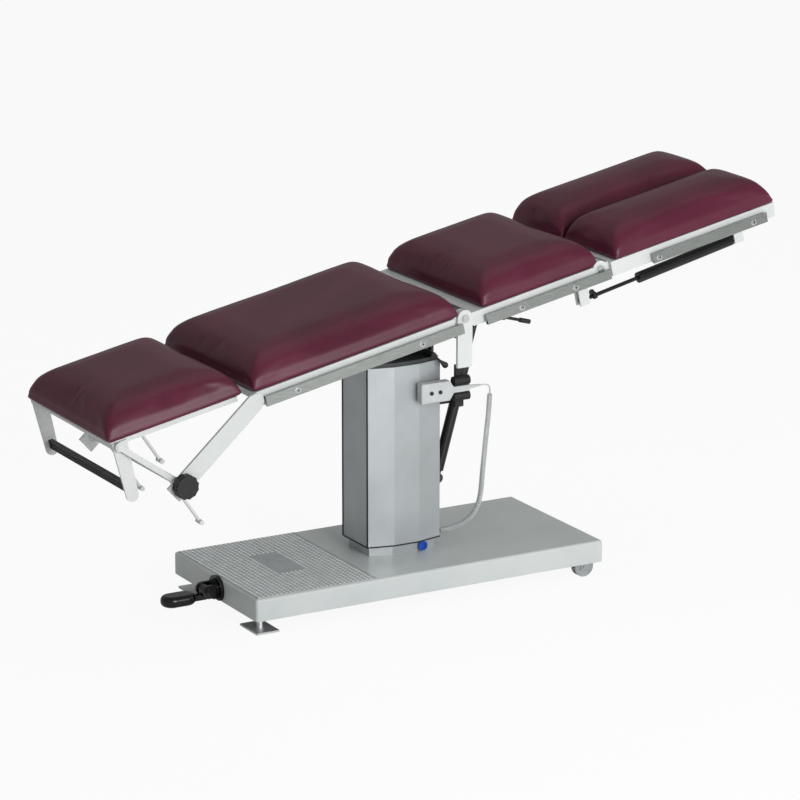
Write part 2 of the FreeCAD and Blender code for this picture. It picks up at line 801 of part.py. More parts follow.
def gas_ears(u, w):
    """The two ears that hold one end of a leg strut on the near side."""
    half = "gas_eye_half + body_play"
    ears = [box(f"{u} - ear_half", v, f"{w} - gas_ear_fall", "2 * ear_half", "gas_ear_thick",
                f"-bar_drop + cross_drop - ({w}) + gas_ear_fall")
            for v in (f"-gas_v - ({half}) - gas_ear_thick", f"-gas_v + {half}")]
    return fuse(*ears)


def gas_pin(u, w):
    """The pin across those ears."""
    half = "gas_eye_half + body_play + gas_ear_thick"
    return disc(u, w, f"-gas_v - ({half})", "gas_pin_radius", f"2 * ({half})")


def side_plates():
    """The white outer plates: hinge bosses at both ends and an upright tail down to the saddle."""
    def plate():
        tail = put(slant(group(box("-plate_wide / 2", 0, "-plate_drop", "plate_wide", "plate_thick",
                                   "plate_drop")), "tilt"), "hinge_u", "-bar_outer", "hinge_w")
        whole = fuse(
            box("hinge_u", "-bar_outer", "-bar_drop + plate_short", "leg_hinge_u - hinge_u", "plate_thick",
                "bar_drop + bar_top - plate_short"),
            disc("hinge_u", "hinge_w", "-bar_outer", "plate_wide / 2", "plate_thick"),
            disc("leg_hinge_u", "hinge_w", "-bar_outer", "hinge_radius", "plate_thick"), tail)
        bores = [disc(u, "hinge_w", "-bar_outer - 1", "hinge_pin_radius + shaft_play", "plate_thick + 2")
                 for u in ("hinge_u", "leg_hinge_u")]
        return cut(whole, *bores)
    on_top("side_plates", group(*both(plate)))


def saddle():
    """The dark cross beam that carries the side plates and turns on the yoke's shaft."""
    beam_u = "hinge_u - saddle_back"
    face = "-(yoke_half_y + yoke_ear_thick + body_play + saddle_lug_thick)"

    def lug():
        whole = fuse(disc(PIVOT_U, PIVOT_W, face, "saddle_lug_radius", "saddle_lug_thick"),
                     beam(PIVOT_U, PIVOT_W, beam_u, "saddle_w", face, "saddle_lug_thick", "saddle_lug_high"))
        return cut(whole, disc(PIVOT_U, PIVOT_W, f"{face} - 1", "trend_shaft_radius + shaft_play",
                               "saddle_lug_thick + 2"))
    cross = box(f"{beam_u} - saddle_half", f"-({FACE})", "saddle_w - saddle_high / 2", "2 * saddle_half",
                f"2 * ({FACE})", "saddle_high")
    on_top("saddle_beam", fuse(*both(lug), cross))


def rails(name, start, end, face):
    """A pair of 25 by 10 accessory rails on round spacers."""
    def rail():
        bar = box(start, f"-{face} - rail_spacer - rail_thick", "rail_top - rail_high", f"{end} - ({start})",
                  "rail_thick", "rail_high")
        spacers = [disc(u, "rail_top - rail_high / 2", f"-{face} - rail_spacer", "spacer_radius", "rail_spacer")
                   for u in (f"{start} + spacer_in", f"{end} - spacer_in")]
        return fuse(bar, *spacers)
    if name == "leg":
        near = rail()
        on_top("near_leg_rail", near)
        on_top("far_leg_rail", mirror(near))
    else:
        on_top(f"{name}_rails", group(*both(rail)))


def bolts():
    """The pins of the two hinge lines, with round heads outside."""
    def bolt(u):
        return fuse(disc(u, "hinge_w", "-bar_outer - hinge_head_thick", "hinge_head_radius", "hinge_head_thick"),
                    disc(u, "hinge_w", "-bar_outer", "hinge_pin_radius",
                         f"bar_outer - ({FACE}) + lug_thick + body_play + hinge_pin_past"))
    pins = [piece for u in ("hinge_u", "leg_hinge_u") for piece in both(lambda: bolt(u))]
    middle = disc("leg_hinge_u", "hinge_w", "-middle_pin_half", "hinge_pin_radius", "2 * middle_pin_half")
    on_top("hinge_bolts", group(*pins, middle))


def recesses(u, radius):
    """Room for the hinge bosses of one line, at both edges of a cushion."""
    def recess():
        return disc(u, "hinge_w", "-bar_outer - recess_play", f"{radius} + recess_play",
                    "plate_thick + 2 * lug_thick + 3 * recess_play")
    return both(recess)


def cushion(name, start, end, low, high, *rooms):
    """A crowned cushion: low upright walls, broad convex shoulders that meet in mitred corners."""
    body = doc.addObject("PartDesign::Body", "body")
    steps = [("0", "board_inset"), ("pad_foot", "0"), ("pad_wall", "0"), ("pad_mid", "pad_step"),
             ("pad_high", "pad_shoulder"), ("pad_thick", "pad_crown")]
    sketches = []
    for n, (rise, inset) in enumerate(steps):
        sketch = sketch_on(body, "XY_Plane", f"level_{n}", rise)
        outline(sketch, rectangle(f"(({end}) - ({start})) / 2 - {inset}", f"(({high}) - ({low})) / 2 - {inset}"))
        sketches.append(sketch)
    doc.recompute()
    loft = body.newObject("PartDesign::AdditiveLoft", "shoulders")
    loft.Profile = sketches[0]
    loft.Sections = sketches[1:]
    loft.Ruled = True
    put(body, f"(({start}) + ({end})) / 2", f"(({low}) + ({high})) / 2", "bar_top")
    on_top(name, cut(body, *rooms) if rooms else body)


def back():
    lug_v = f"{FACE} - body_play / 2"

    def bars():
        return fuse(
            box("back_start", "-bar_outer", "-bar_drop", "hinge_u - swing_gap - back_start",
                "bar_outer - bar_inner", "bar_drop + bar_top"),
            box("hinge_u - swing_gap - lug_root", f"-({lug_v})", "hinge_w - lug_below", "swing_gap + lug_root",
                "lug_thick - body_play", "lug_wide"),
            disc("hinge_u", "hinge_w", f"-({lug_v})", "hinge_radius", "lug_thick - body_play"))
    crosses = [box(u, "-bar_outer", "back_cross_w", "cross_wide", "2 * bar_outer", "bar_top - deck_thick - back_cross_w")
               for u in ("back_start", "back_start + back_cross_u", "hinge_u - swing_gap - cross_wide")]
    deck = box("back_start", "-bar_outer", "bar_top - deck_thick", "hinge_u - swing_gap - back_start",
               "2 * bar_outer", "deck_thick")
    bore = disc("hinge_u", "hinge_w", "-bar_outer", "hinge_pin_radius + shaft_play", "2 * bar_outer")
    on_top("back_frame", cut(fuse(*both(bars), *crosses, deck), bore))
    rails("back", "back_rail_start", "back_rail_end", "bar_outer")
    cushion("back_pad", "back_pad_start", "back_pad_end", "-pad_half", "pad_half",
            *recesses("hinge_u", "plate_wide / 2"))

    def arm():
        whole = fuse(beam("back_start", "arm_root_w", "knob_u", "knob_w", "-bar_outer - arm_thick", "arm_thick",
                          "arm_wide", "arm_past"),
                     disc("back_start", "arm_root_w", "-bar_outer - arm_thick", "arm_root_radius", "arm_thick"))
        return cut(whole, disc("knob_u", "knob_w", "-bar_outer - arm_thick - 1", "shaft_radius + shaft_play",
                               "arm_thick + 2"))
    on_top("head_arms", group(*both(arm)))


def t_rod(u, w, v, reach):
    """A chrome rod square to nothing but its own lean, with a small cross bar at its tip."""
    tip = rod("Y", f"{reach}", "-rod_cap_half", 0, "rod_cap_radius", "2 * rod_cap_half")
    bar = rod("X", 0, 0, 0, "rod_radius", reach)
    return put(slant(group(fuse(bar, tip)), "rod_lean"), u, v, w)


def head():
    """The head section: two struts clamped at the star knob carry a frame hinged at their tops."""
    link_v = "bar_outer - body_play"

    def strut():
        whole = fuse(beam("knob_u", "knob_w", "link_top_u", "link_top_w", f"-({link_v})", "link_thick", "link_wide"),
                     disc("knob_u", "knob_w", f"-({link_v})", "link_boss_radius", "link_thick"),
                     disc("link_top_u", "link_top_w", f"-({link_v})", "link_eye_radius", "link_thick"))
        return cut(whole, disc("link_top_u", "link_top_w", f"-({link_v}) - 1", "hinge_pin_radius + shaft_play",
                               "link_thick + 2"))
    rods = [t_rod("knob_u", "knob_w", v, "rod_reach") for v in ("-link_rod_v", "link_rod_v")]
    shaft = disc("knob_u", "knob_w", f"-({link_v}) - arm_thick - shaft_beyond", "shaft_radius",
                 f"2 * ({link_v} + arm_thick + shaft_beyond)")
    near, far = both(strut)
    on_top("link_frame", fuse(near, far, shaft, *rods))
    knob()
    inner = "head_half - head_bar"

    def bar():
        return fuse(box("head_start + head_frame_in", "-head_half", "-head_drop", "head_end - head_start - head_frame_in - head_frame_end", "head_bar",
                        "head_drop + bar_top"),
                    disc("link_top_u", "link_top_w", f"-({link_v}) - pin_beyond", "hinge_pin_radius",
                         f"{link_v} - ({inner}) + pin_beyond"),
                    t_rod("head_rod_u", "-head_drop + 4", "-head_rod_v", "head_rod_reach"))
    crosses = [box(u, "-head_half", "-head_drop", "cross_wide", "2 * head_half", "head_drop")
               for u in ("head_start + head_frame_in", "head_rod_u - cross_wide / 2", "head_end - head_frame_end - cross_wide")]
    deck = box("head_start + head_frame_in", "-head_half", "bar_top - deck_thick", "head_end - head_start - head_frame_in - head_frame_end",
               "2 * head_half", "deck_thick")
    on_top("head_frame", fuse(*both(bar), *crosses, deck))
    cushion("head_pad", "head_start", "head_end", "-head_pad_half", "head_pad_half")
    handle()


def handle():
    """The pull handle under the head end: two tapering flat arms and a grooved grip between them."""
    def arm():
        body = doc.addObject("PartDesign::Body", "body")
        sketch = sketch_on(body, "XZ_Plane", "taper")
        extrude(body, sketch, "handle_thick")
        outline(sketch, [("-handle_wide / 2", "0"), ("-handle_narrow / 2 + handle_lean", "-handle_drop"),
                         ("handle_narrow / 2 + handle_lean", "-handle_drop"), ("handle_wide / 2", "0")])
        end = rod("Y", "handle_lean", "-handle_thick", "-handle_drop", "handle_narrow / 2", "handle_thick")
        flat = put(group(fuse(body, end)), "head_start + head_frame_in + handle_wide / 2", "-head_half",
                   "bar_top - deck_thick")
        return cut(flat, disc("link_top_u", "link_top_w", "-head_half - handle_thick - 1",
                              "hinge_pin_radius + shaft_play", "handle_thick + 2"))
    on_top("handle_arms", group(*both(arm)))
    u = "head_start + head_frame_in + handle_wide / 2 + handle_lean"
    w = "bar_top - deck_thick - handle_drop + grip_rise"
    grip = box(f"{u} - grip_thick / 2", "-head_half", f"{w} - grip_high / 2", "grip_thick", "2 * head_half",
               "grip_high")
    grooves = []
    for n in range(int(val("grip_grooves"))):
        rise = f"{w} - grip_high / 2 + {n + 1} * grip_high / (grip_grooves + 1) - groove_high / 2"
        grooves.append(box(f"{u} - grip_thick / 2 - 1", "-head_half - 1", rise, "grip_groove + 1",
                           "2 * head_half + 2", "groove_high"))
    on_top("grip_bar", cut(grip, *grooves))


def knob():
    """The lobed clamping knob on the near arm."""
    v = "-bar_outer - arm_thick - body_play - knob_thick"
    core = disc("knob_u", "knob_w", v, "knob_radius - knob_lobe", "knob_thick")
    lobes = []
    for n in range(int(val("knob_lobes"))):
        turn = f"({n} * 360 / knob_lobes * 1 deg)"
        lobes.append(disc(f"knob_u + (knob_radius - 2 * knob_lobe) * cos{turn}",
                          f"knob_w + (knob_radius - 2 * knob_lobe) * sin{turn}", f"{v} + knob_edge",
                          "2 * knob_lobe", "knob_thick - 2 * knob_edge"))
    bore = disc("knob_u", "knob_w", f"{v} + knob_thick - knob_bore_deep",
                "shaft_radius + shaft_play", "knob_bore_deep + 1")
    on_top("star_knob", cut(fuse(core, *lobes), bore))


def legs():
    lug_v = f"{FACE} - body_play / 2"
    start = "leg_hinge_u + swing_gap"
    near = fuse(
        box(start, "-leg_outer", "-bar_drop", f"leg_end - ({start})", "leg_bar", "bar_drop + bar_top"),
        box(start, "-leg_inner - leg_bar", "-bar_drop", f"leg_end - ({start})", "leg_bar", "bar_drop + bar_top"),
        box(start, "-leg_outer", "-bar_drop", "cross_wide", "leg_outer - leg_inner", "cross_drop"),
        box("leg_end - cross_wide", "-leg_outer", "-bar_drop", "cross_wide", "leg_outer - leg_inner", "cross_drop"),
        box("gas_leg_u - gas_beam_half", "-leg_outer", "-bar_drop", "2 * gas_beam_half", "leg_outer - leg_inner",
            "cross_drop"),
        box(start, "-leg_outer", "bar_top - deck_thick", f"leg_end - ({start})", "leg_outer - leg_inner",
            "deck_thick"),
        box("leg_hinge_u", f"-({lug_v})", "hinge_w - lug_below", "swing_gap + lug_overlap", "lug_thick - body_play",
            "lug_wide"),
        disc("leg_hinge_u", "hinge_w", f"-({lug_v})", "hinge_radius", "lug_thick - body_play"),
        box("leg_hinge_u", "-middle_lug_half - body_play - lug_thick", "hinge_w - lug_below", "swing_gap + lug_overlap",
            "lug_thick", "lug_wide"),
        disc("leg_hinge_u", "hinge_w", "-middle_lug_half - body_play - lug_thick", "hinge_radius", "lug_thick"),
        gas_ears("gas_leg_u", "gas_leg_w"), gas_pin("gas_leg_u", "gas_leg_w"))
    frame = cut(near, disc("leg_hinge_u", "hinge_w", "-leg_outer", "hinge_pin_radius + shaft_play", "leg_outer"))
    on_top("near_leg_frame", frame)
    on_top("far_leg_frame", mirror(frame))
    rails("leg", "leg_rail_start", "leg_rail_end", "leg_outer")
    cushion("near_leg_pad", "leg_pad_start", "leg_pad_end", "-leg_pad_half", "-pad_split")
    cushion("far_leg_pad", "leg_pad_start", "leg_pad_end", "pad_split", "leg_pad_half")
    gas_struts()


def eye(x, half, radius, bore):
    """A flat eye about the axis v."""
    return cut(rod("Y", x, f"-({half})", 0, radius, f"2 * ({half})"),
               rod("Y", x, f"-({half}) - 1", 0, bore, f"2 * ({half}) + 2"))


def gas_struts():
    """A lockable gas strut under each leg section: its cylinder on the leg, its rod on the seat."""
    line = ("gas_leg_u", "gas_leg_w", "gas_seat_u", "gas_seat_w", "-gas_v")
    reach = "sqrt((gas_leg_u - gas_seat_u) ^ 2 + (gas_leg_w - gas_seat_w) ^ 2)"
    tube = cut(rod("X", "gas_end_gap", 0, 0, "gas_radius", "gas_body"),
               rod("X", "gas_end_gap + gas_body - gas_stroke - gas_bore_end", 0, 0, "gas_rod_radius + shaft_play",
                   "gas_body"))
    neck = box("gas_eye_radius - 3", "-gas_eye_half", "-neck_half", "gas_end_gap - gas_eye_radius + neck_overlap",
               "2 * gas_eye_half", "2 * neck_half")
    cylinder = along(*line, fuse(tube, neck, eye(0, "gas_eye_half", "gas_eye_radius",
                                                 "gas_pin_radius + shaft_play")))
    bar = rod("X", "gas_end_gap + gas_body - gas_rod_in", 0, 0, "gas_rod_radius",
              f"{reach} - gas_end_gap - gas_body + gas_rod_in - gas_eye_radius")
    collar = rod("X", "gas_end_gap + gas_body + gas_stroke", 0, 0, "gas_rod_radius + gas_collar_wall",
                 "gas_collar_long")
    release = rod("X", f"{reach} - release_back", 0, "-gas_rod_radius - 2", "release_radius", "release_thick")
    lump = rod("Y", reach, "-gas_eye_half", 0, "gas_eye_radius", "2 * gas_eye_half")
    piston = along(*line, fuse(bar, collar, release, lump))
    on_top("near_gas_cylinder", cylinder)
    on_top("near_gas_rod", piston)
    on_top("far_gas_cylinder", mirror(cylinder))
    on_top("far_gas_rod", mirror(piston))


def strut():
    """The black lockable strut that holds the tilt, from the drop arm up to the seat frame."""
    line = ("drop_pivot_x", "drop_pivot_z", "act_top_x", "act_top_z", "0")
    reach = "sqrt((act_top_x - drop_pivot_x) ^ 2 + (act_top_z - drop_pivot_z) ^ 2)"
    tube = cut(rod("X", "act_end_gap", 0, 0, "act_radius", "act_body - act_end_gap"),
               rod("X", "act_bore_start", 0, 0, "act_rod_radius + shaft_play", "act_body"))
    neck = box("act_eye_radius - 3", "-act_eye_half", "-act_neck_half", "act_end_gap - act_eye_radius + neck_overlap",
               "2 * act_eye_half", "2 * act_neck_half")
    cylinder = along(*line, fuse(tube, neck, eye(0, "act_eye_half", "act_eye_radius",
                                                 "act_pin_radius + shaft_play")))
    node("tilt_strut_body", cylinder)
    bar = rod("X", "act_body - act_rod_in", 0, 0, "act_rod_radius",
              f"{reach} - act_body + act_rod_in - act_eye_radius")
    node("tilt_strut_rod", along(*line, fuse(bar, eye(
        reach, "act_eye_half", "act_eye_radius + act_play - 1", "act_pin_radius + act_play"))))


def levers():
    """The back section's release lever and the tilt lever with its teardrop knob."""
    ends = ("lever_u", "lever_w", "lever_u + lever_reach", "lever_w - lever_fall", "-lever_v")
    length = "sqrt(lever_reach ^ 2 + lever_fall ^ 2)"
    made = fuse(rod("X", 0, 0, 0, "lever_radius", length),
                rod("X", f"{length} - lever_grip", 0, 0, "lever_grip_radius", "lever_grip"),
                rod("Y", 0, "-lever_boss_half", 0, "lever_radius + lever_boss_wall", "2 * lever_boss_half"))
    on_top("back_lever", along(*ends, made))
    ends = ("knob_lever_x", "knob_lever_z", "knob_lever_x + knob_lever_reach", "knob_lever_z - knob_lever_fall",
            "knob_lever_y")
    length = "sqrt(knob_lever_reach ^ 2 + knob_lever_fall ^ 2)"
    drop = cone("X", f"{length} - teardrop_long", 0, 0, "knob_lever_radius + 0.5", "teardrop_radius",
                "teardrop_long")
    made = fuse(rod("X", 0, 0, 0, "knob_lever_radius", length), drop, ball(length, 0, 0, "teardrop_radius"),
                rod("Y", 0, "-lever_boss_half", 0, "knob_lever_radius + knob_lever_wall",
                    "-knob_lever_y - bearing_wide / 2 + lever_boss_half - body_play"))
    node("tilt_lever", along(*ends, made))


def handset():
    """The two-button handset held by its neck between two rubber jaws on a bracket."""
    half = "handset_thick / 2"
    mid = "(handset_low + handset_high) / 2"
    case = prism([("handset_left", "handset_low"), ("handset_right - handset_taper", "handset_low"),
                  ("handset_right", f"{mid} - neck_high / 2"), ("handset_right", f"{mid} + neck_high / 2"),
                  ("handset_right - handset_taper", "handset_high"), ("handset_left", "handset_high")],
                 0, "handset_thick", "XZ_Plane")
    bind(case, "Placement.Base.y", f"handset_y + {half}")
    doc.recompute()
    rounded = rounding(case, range(1, len(case.Shape.Edges) + 1), "handset_round")
    neck = box("handset_right - neck_root", f"handset_y - {half} + neck_thin", f"{mid} - neck_high / 2 + neck_room",
               "neck_end - handset_right + neck_root", "handset_thick - 2 * neck_thin", "neck_high - 2 * neck_room")
    buttons, wells = [], []
    for n, name in ((-1, "button_down"), (1, "button_up")):
        x = f"(handset_left + handset_right) / 2 - button_left + {n} * button_gap / 2"
        face = f"handset_y - {half}"
        wells.append(rod("Y", x, f"{face} - 1", mid, "button_radius + body_play", "well_deep + 1"))
        buttons.append((name, rod("Y", x, f"{face} - button_proud", mid, "button_radius", "button_proud + button_foot")))
    node("handset", cut(fuse(rounded, neck), *wells))
    for name, made in buttons:
        node(name, made)
    jaws = []
    for z in (f"{mid} + neck_high / 2 + jaw_radius", f"{mid} - neck_high / 2 - jaw_radius"):
        jaws.append(rod("X", "handset_right + jaw_in", "handset_y", z, "jaw_radius",
                        "neck_end - handset_right - jaw_in"))
    x = "neck_end - clamp_back"
    bar = box(x, "handset_y + jaw_radius - 2", "handset_low - clamp_low", "clamp_wide", "clamp_thick",
              "handset_high - handset_low + clamp_low + clamp_high")
    face = "column_centre_x + column_half_x"
    arm = box(face, "clamp_arm_y", "handset_low - clamp_arm_low", f"{x} + clamp_wide - ({face})",
              "clamp_arm_thick", "clamp_arm_high")
    link = box(x, "handset_y + jaw_radius", "handset_low - clamp_arm_low", "clamp_wide",
               "clamp_arm_y - handset_y - jaw_radius + clamp_arm_thick / 2", "clamp_arm_high")
    node("handset_clamp", fuse(*jaws, bar, link, arm))
    node("strain_relief", cone("X", "neck_end", "handset_y", mid, "relief_big", "relief_small", "relief_long"))
    node("cord_gland", rod("X", face, "gland_y", "base_ground + base_height + column_foot + gland_rise",
                           "coil_radius + gland_wall", "gland_thick"))


# The handset's cord: a thin lead out of the strain relief, then a curly stretch down to the gland
LEAD_POINTS = [(206, -100, 516), (219, -100, 517), (231, -100, 513), (236, -100, 503), (235, -100, 492)]
COIL_POINTS = [(235, -100, 492), (232, -100, 440), (225, -100, 385), (219, -101, 332), (214, -100, 280),
               (212, -98, 235), (206, -93, 195), (190, -83, 165), (167, -64, 143), (141, -46, 131),
               (116.2, -46, 131)]


def tube(name, points, radius):
    """A cord's solid: straight runs joined by arcs as large as the runs allow."""
    vectors = [FreeCAD.Vector(*p) for p in points]
    edges, start, radii, length = [], vectors[0], [], 0.0
    for before, corner, after in zip(vectors, vectors[1:], vectors[2:]):
        way_in = (corner - before).normalize()
        way_out = (after - corner).normalize()
        turn = way_in.getAngle(way_out)
        back = 0.45 * min((corner - before).Length, (after - corner).Length)
        a, b = corner - way_in * back, corner + way_out * back
        inward = (way_out - way_in).normalize()
        size = back / math.tan(turn / 2)
        middle = corner + inward * (size / math.cos(turn / 2) - size)
        edges += [Part.LineSegment(start, a).toShape(), Part.Arc(a, middle, b).toShape()]
        length += (a - start).Length + size * turn
        radii.append(round(size))
        start = b
    edges.append(Part.LineSegment(start, vectors[-1]).toShape())
    length += (vectors[-1] - start).Length
    first = (vectors[1] - vectors[0]).normalize()
    section = Part.Wire(Part.Circle(vectors[0], first, radius).toShape())
    made = doc.addObject("Part::Feature", "cord")
    made.Shape = Part.Wire(edges).makePipeShell([section], True, False)
    print(name, "radii", radii, "length", round(length),
          "volume share", round(made.Shape.Volume / (math.pi * radius ** 2 * length), 4))
    node(name, made)


def finish():
    """Recompute, check every object, then write one file for each sub-part."""
    doc.recompute()
    for made in doc.Objects:
        if "Invalid" in made.State or "Error" in made.State:
            raise RuntimeError(f"{made.Label} ({made.TypeId}) failed: {made.State}")
    triangles = 0
    for made in NODES:
        if made.Shape.isNull() or not made.Shape.isValid():
            raise RuntimeError(f"{made.Label} has no valid shape")
        triangles += len(made.Shape.tessellate(0.5)[1])
        made.Shape.exportStep(f"parts/{made.Label}.step")
    print(len(NODES), "sub-parts,", triangles, "triangles")


base()
pedal()
column()
yoke()
seat()
back()
head()
legs()
strut()
levers()
handset()
tube("cord_lead", LEAD_POINTS, val("lead_radius"))
tube("cord_coil", COIL_POINTS, val("coil_radius"))
finish()
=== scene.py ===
# %% [markdown]
# An operating table, dressed for the camera.
# The rigid parts come in as a fixed frame that already has the right sizes and joints.
# This script adds what shaping in solids leaves out: upholstery, studs, screws, the curly cord and a
# material for every surface. Each new piece rides on the part that carries it.

# %% Frame
import math
import bmesh
import bpy
from mathutils import Euler, Matrix, Vector


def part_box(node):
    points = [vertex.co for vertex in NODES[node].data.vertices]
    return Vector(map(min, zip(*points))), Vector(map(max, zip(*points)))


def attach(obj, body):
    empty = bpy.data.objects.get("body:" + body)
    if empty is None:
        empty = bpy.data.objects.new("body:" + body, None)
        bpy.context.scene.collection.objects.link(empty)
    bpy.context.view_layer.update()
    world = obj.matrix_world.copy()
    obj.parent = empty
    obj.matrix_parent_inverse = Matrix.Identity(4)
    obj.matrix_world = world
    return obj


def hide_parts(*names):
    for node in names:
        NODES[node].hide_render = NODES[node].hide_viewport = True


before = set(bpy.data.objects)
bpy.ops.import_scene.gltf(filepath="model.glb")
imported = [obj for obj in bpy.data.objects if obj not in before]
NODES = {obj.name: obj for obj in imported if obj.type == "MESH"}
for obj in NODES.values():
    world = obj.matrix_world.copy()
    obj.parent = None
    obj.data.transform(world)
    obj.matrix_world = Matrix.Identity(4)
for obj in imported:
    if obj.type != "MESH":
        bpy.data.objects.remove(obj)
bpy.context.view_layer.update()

MM = 0.001

# %% [markdown]
# The table top is tilted head down. It is easier to place its pieces in a level frame, u along the table, v
# across it and w square to it, and to turn them with one matrix. The base and the column stand upright;
# their pieces are placed straight in millimetres from the base's middle, or from the box of a part.

# %% Level frame of the table top
TILT = math.radians(11.6)
SHIFT = Vector((-47.42, 7.2, 0)) * MM
TOP_HEIGHT = 725 * MM
LEVEL = Matrix.Translation(SHIFT + Vector((0, 0, TOP_HEIGHT))) @ Matrix.Rotation(-TILT, 4, "Y")


def level(u, v, w):
    """A point of the level table frame, given in millimetres."""
    return LEVEL @ (Vector((u, v, w)) * MM)


def drawn(x, y, z):
    """A point beside the upright column, given in millimetres from the base's middle."""
    return Vector((x, y, z)) * MM + SHIFT


print("back hinge at", [round(c, 4) for c in level(78, 0, -4)])

# %% [markdown]
# The photograph was taken from a low three-quarter view with a long lens. The camera stands on a
# ray from the point it looks at, given by an azimuth and an elevation, so its place is one short
# calculation. A long lens far away keeps the edges of the base almost parallel, as they are there.

# %% Camera
LOOK_AT = Vector((-16.89, 7.2, 476.47)) * MM
AZIMUTH, ELEVATION = math.radians(-29.466), math.radians(15.317)
DISTANCE = 9.7543
LENS = 173.6

behind = Vector((math.sin(AZIMUTH) * math.cos(ELEVATION), -math.cos(AZIMUTH) * math.cos(ELEVATION),
                 math.sin(ELEVATION)))
camera = bpy.data.objects.new("camera", bpy.data.cameras.new("camera"))
camera.data.lens = LENS
camera.data.sensor_width = 36
camera.location = LOOK_AT + behind * DISTANCE
camera.rotation_euler = Euler((math.pi / 2 - ELEVATION, 0, AZIMUTH))
bpy.context.scene.collection.objects.link(camera)
bpy.context.scene.camera = camera
print("camera at", [round(c, 3) for c in camera.location])

# %% [markdown]
# A studio for a pale metal object: one large softbox in front, beside the camera, a weak broad lamp
# above, a small one at the foot end and a dim world. The front lamp leaves the upper faces darker
# than the near sides, as the photograph has them, and gives the vinyl its long soft highlights.

# %% Studio
def lamp(name, place, aim, size, power):
    """A square soft lamp that looks at a point."""
    light = bpy.data.lights.new(name, "AREA")
    light.size = size
    light.energy = power
    made = bpy.data.objects.new(name, light)
    made.location = place
    made.rotation_euler = (Vector(aim) - Vector(place)).to_track_quat("-Z", "Y").to_euler()
    bpy.context.scene.collection.objects.link(made)
    return made


lamp("key", (0.2, -4.6, 1.7), (0, 0, 0.5), 2.4, 135)
lamp("overhead", (0.2, 0.4, 4.2), (0, 0, 0.4), 3.0, 14)
lamp("fill", (3.8, -2.2, 1.4), (0, 0, 0.5), 1.8, 26)

# %% [markdown]
# Each material is a small network of nodes. One function adds a node with its settings and links,
# and one turns the sRGB hex value that a painter would pick into the linear colour Blender wants.

# %% Material tools
def rgb(code):
    """The linear colour of an sRGB hex value."""
    channels = [int(code[n:n + 2], 16) / 255 for n in (1, 3, 5)]
    linear = [c / 12.92 if c <= 0.04045 else ((c + 0.055) / 1.055) ** 2.4 for c in channels]
    return (*linear, 1.0)


def add(tree, kind, links=None, **settings):
    """A node with its settings and the sockets that feed it."""
    made = tree.nodes.new(kind)
    for name, value in settings.items():
        if hasattr(made, name):
            setattr(made, name, value)
        else:
            made.inputs[name.replace("_", " ")].default_value = value
    for name, source in (links or {}).items():
        tree.links.new(source, made.inputs[name])
    return made


def surface(name, colour, roughness, metallic=0.0, **more):
    """A new material with a plain shader, and that shader's node and tree."""
    made = bpy.data.materials.new(name)
    made.use_nodes = True
    tree = made.node_tree
    shader = tree.nodes["Principled BSDF"]
    shader.inputs["Base Color"].default_value = rgb(colour)
    shader.inputs["Roughness"].default_value = roughness
    shader.inputs["Metallic"].default_value = metallic
    for key, value in more.items():
        shader.inputs[key.replace("_", " ")].default_value = value
    return made, tree, shader


def mottled(tree, shader, size, dark, light, stretch=(1, 1, 1)):
    """Colour that wanders between two shades over a real size in metres; gives the noise."""
    where = add(tree, "ShaderNodeTexCoord")
    mapped = add(tree, "ShaderNodeMapping", {"Vector": where.outputs["Object"]}, Scale=stretch)
    noise = add(tree, "ShaderNodeTexNoise", {"Vector": mapped.outputs["Vector"]}, Scale=1 / size,
                Detail=4.0)
    ramp = add(tree, "ShaderNodeValToRGB", {"Fac": noise.outputs["Fac"]})
    ramp.color_ramp.elements[0].position, ramp.color_ramp.elements[1].position = 0.35, 0.65
    ramp.color_ramp.elements[0].color, ramp.color_ramp.elements[1].color = rgb(dark), rgb(light)
    tree.links.new(ramp.outputs["Color"], shader.inputs["Base Color"])
    return noise


def relief(tree, shader, source, depth, strength=1.0):
    """Fine relief of a real depth in metres."""
    bump = add(tree, "ShaderNodeBump", {"Height": source}, Distance=depth, Strength=strength)
    tree.links.new(bump.outputs["Normal"], shader.inputs["Normal"])


def skin(tree, shader, grit, depth, strength, detail=3.0):
    """The fine relief of a skin whose grit has a real size in metres."""
    where = add(tree, "ShaderNodeTexCoord")
    noise = add(tree, "ShaderNodeTexNoise", {"Vector": where.outputs["Object"]}, Scale=1 / grit,
                Detail=detail)
    relief(tree, shader, noise.outputs["Fac"], depth, strength)


def give(material, *names):
    """Put a material on CAD nodes."""
    for name in names:
        slots = NODES[name].material_slots
        for entry in slots:
            entry.material = material


print("tools ready; mid grey is", round(rgb("#808080")[0], 3))

# %% [markdown]
# The upholstery is coated fabric, a vinyl skin on a knitted back. Its surface is embossed with a
# very fine leather grain, about 1.6 mm, and it is smooth enough to show broad soft highlights.
# The grain is relief only: colour hardly varies, as the dye goes through the skin.

# %% Maroon vinyl
vinyl, tree, shader = surface("embossed_vinyl_maroon", "#5a1d33", 0.38, Specular_IOR_Level=0.3)
mottled(tree, shader, 0.16, "#53192e", "#5e2036")
GRAIN = 1.6 * MM
place = add(tree, "ShaderNodeTexCoord")
grain = add(tree, "ShaderNodeTexVoronoi", {"Vector": place.outputs["Object"]}, Scale=1 / GRAIN)
relief(tree, shader, grain.outputs["Distance"], 0.12 * MM, 0.35)
shader.inputs["Coat Weight"].default_value = 0.04
shader.inputs["Coat Roughness"].default_value = 0.22
print(vinyl.name)

# %% [markdown]
# Most of the steelwork is powder coated: a baked plastic film, near white and half gloss, with a
# faint orange peel a few millimetres across that softens its highlights.

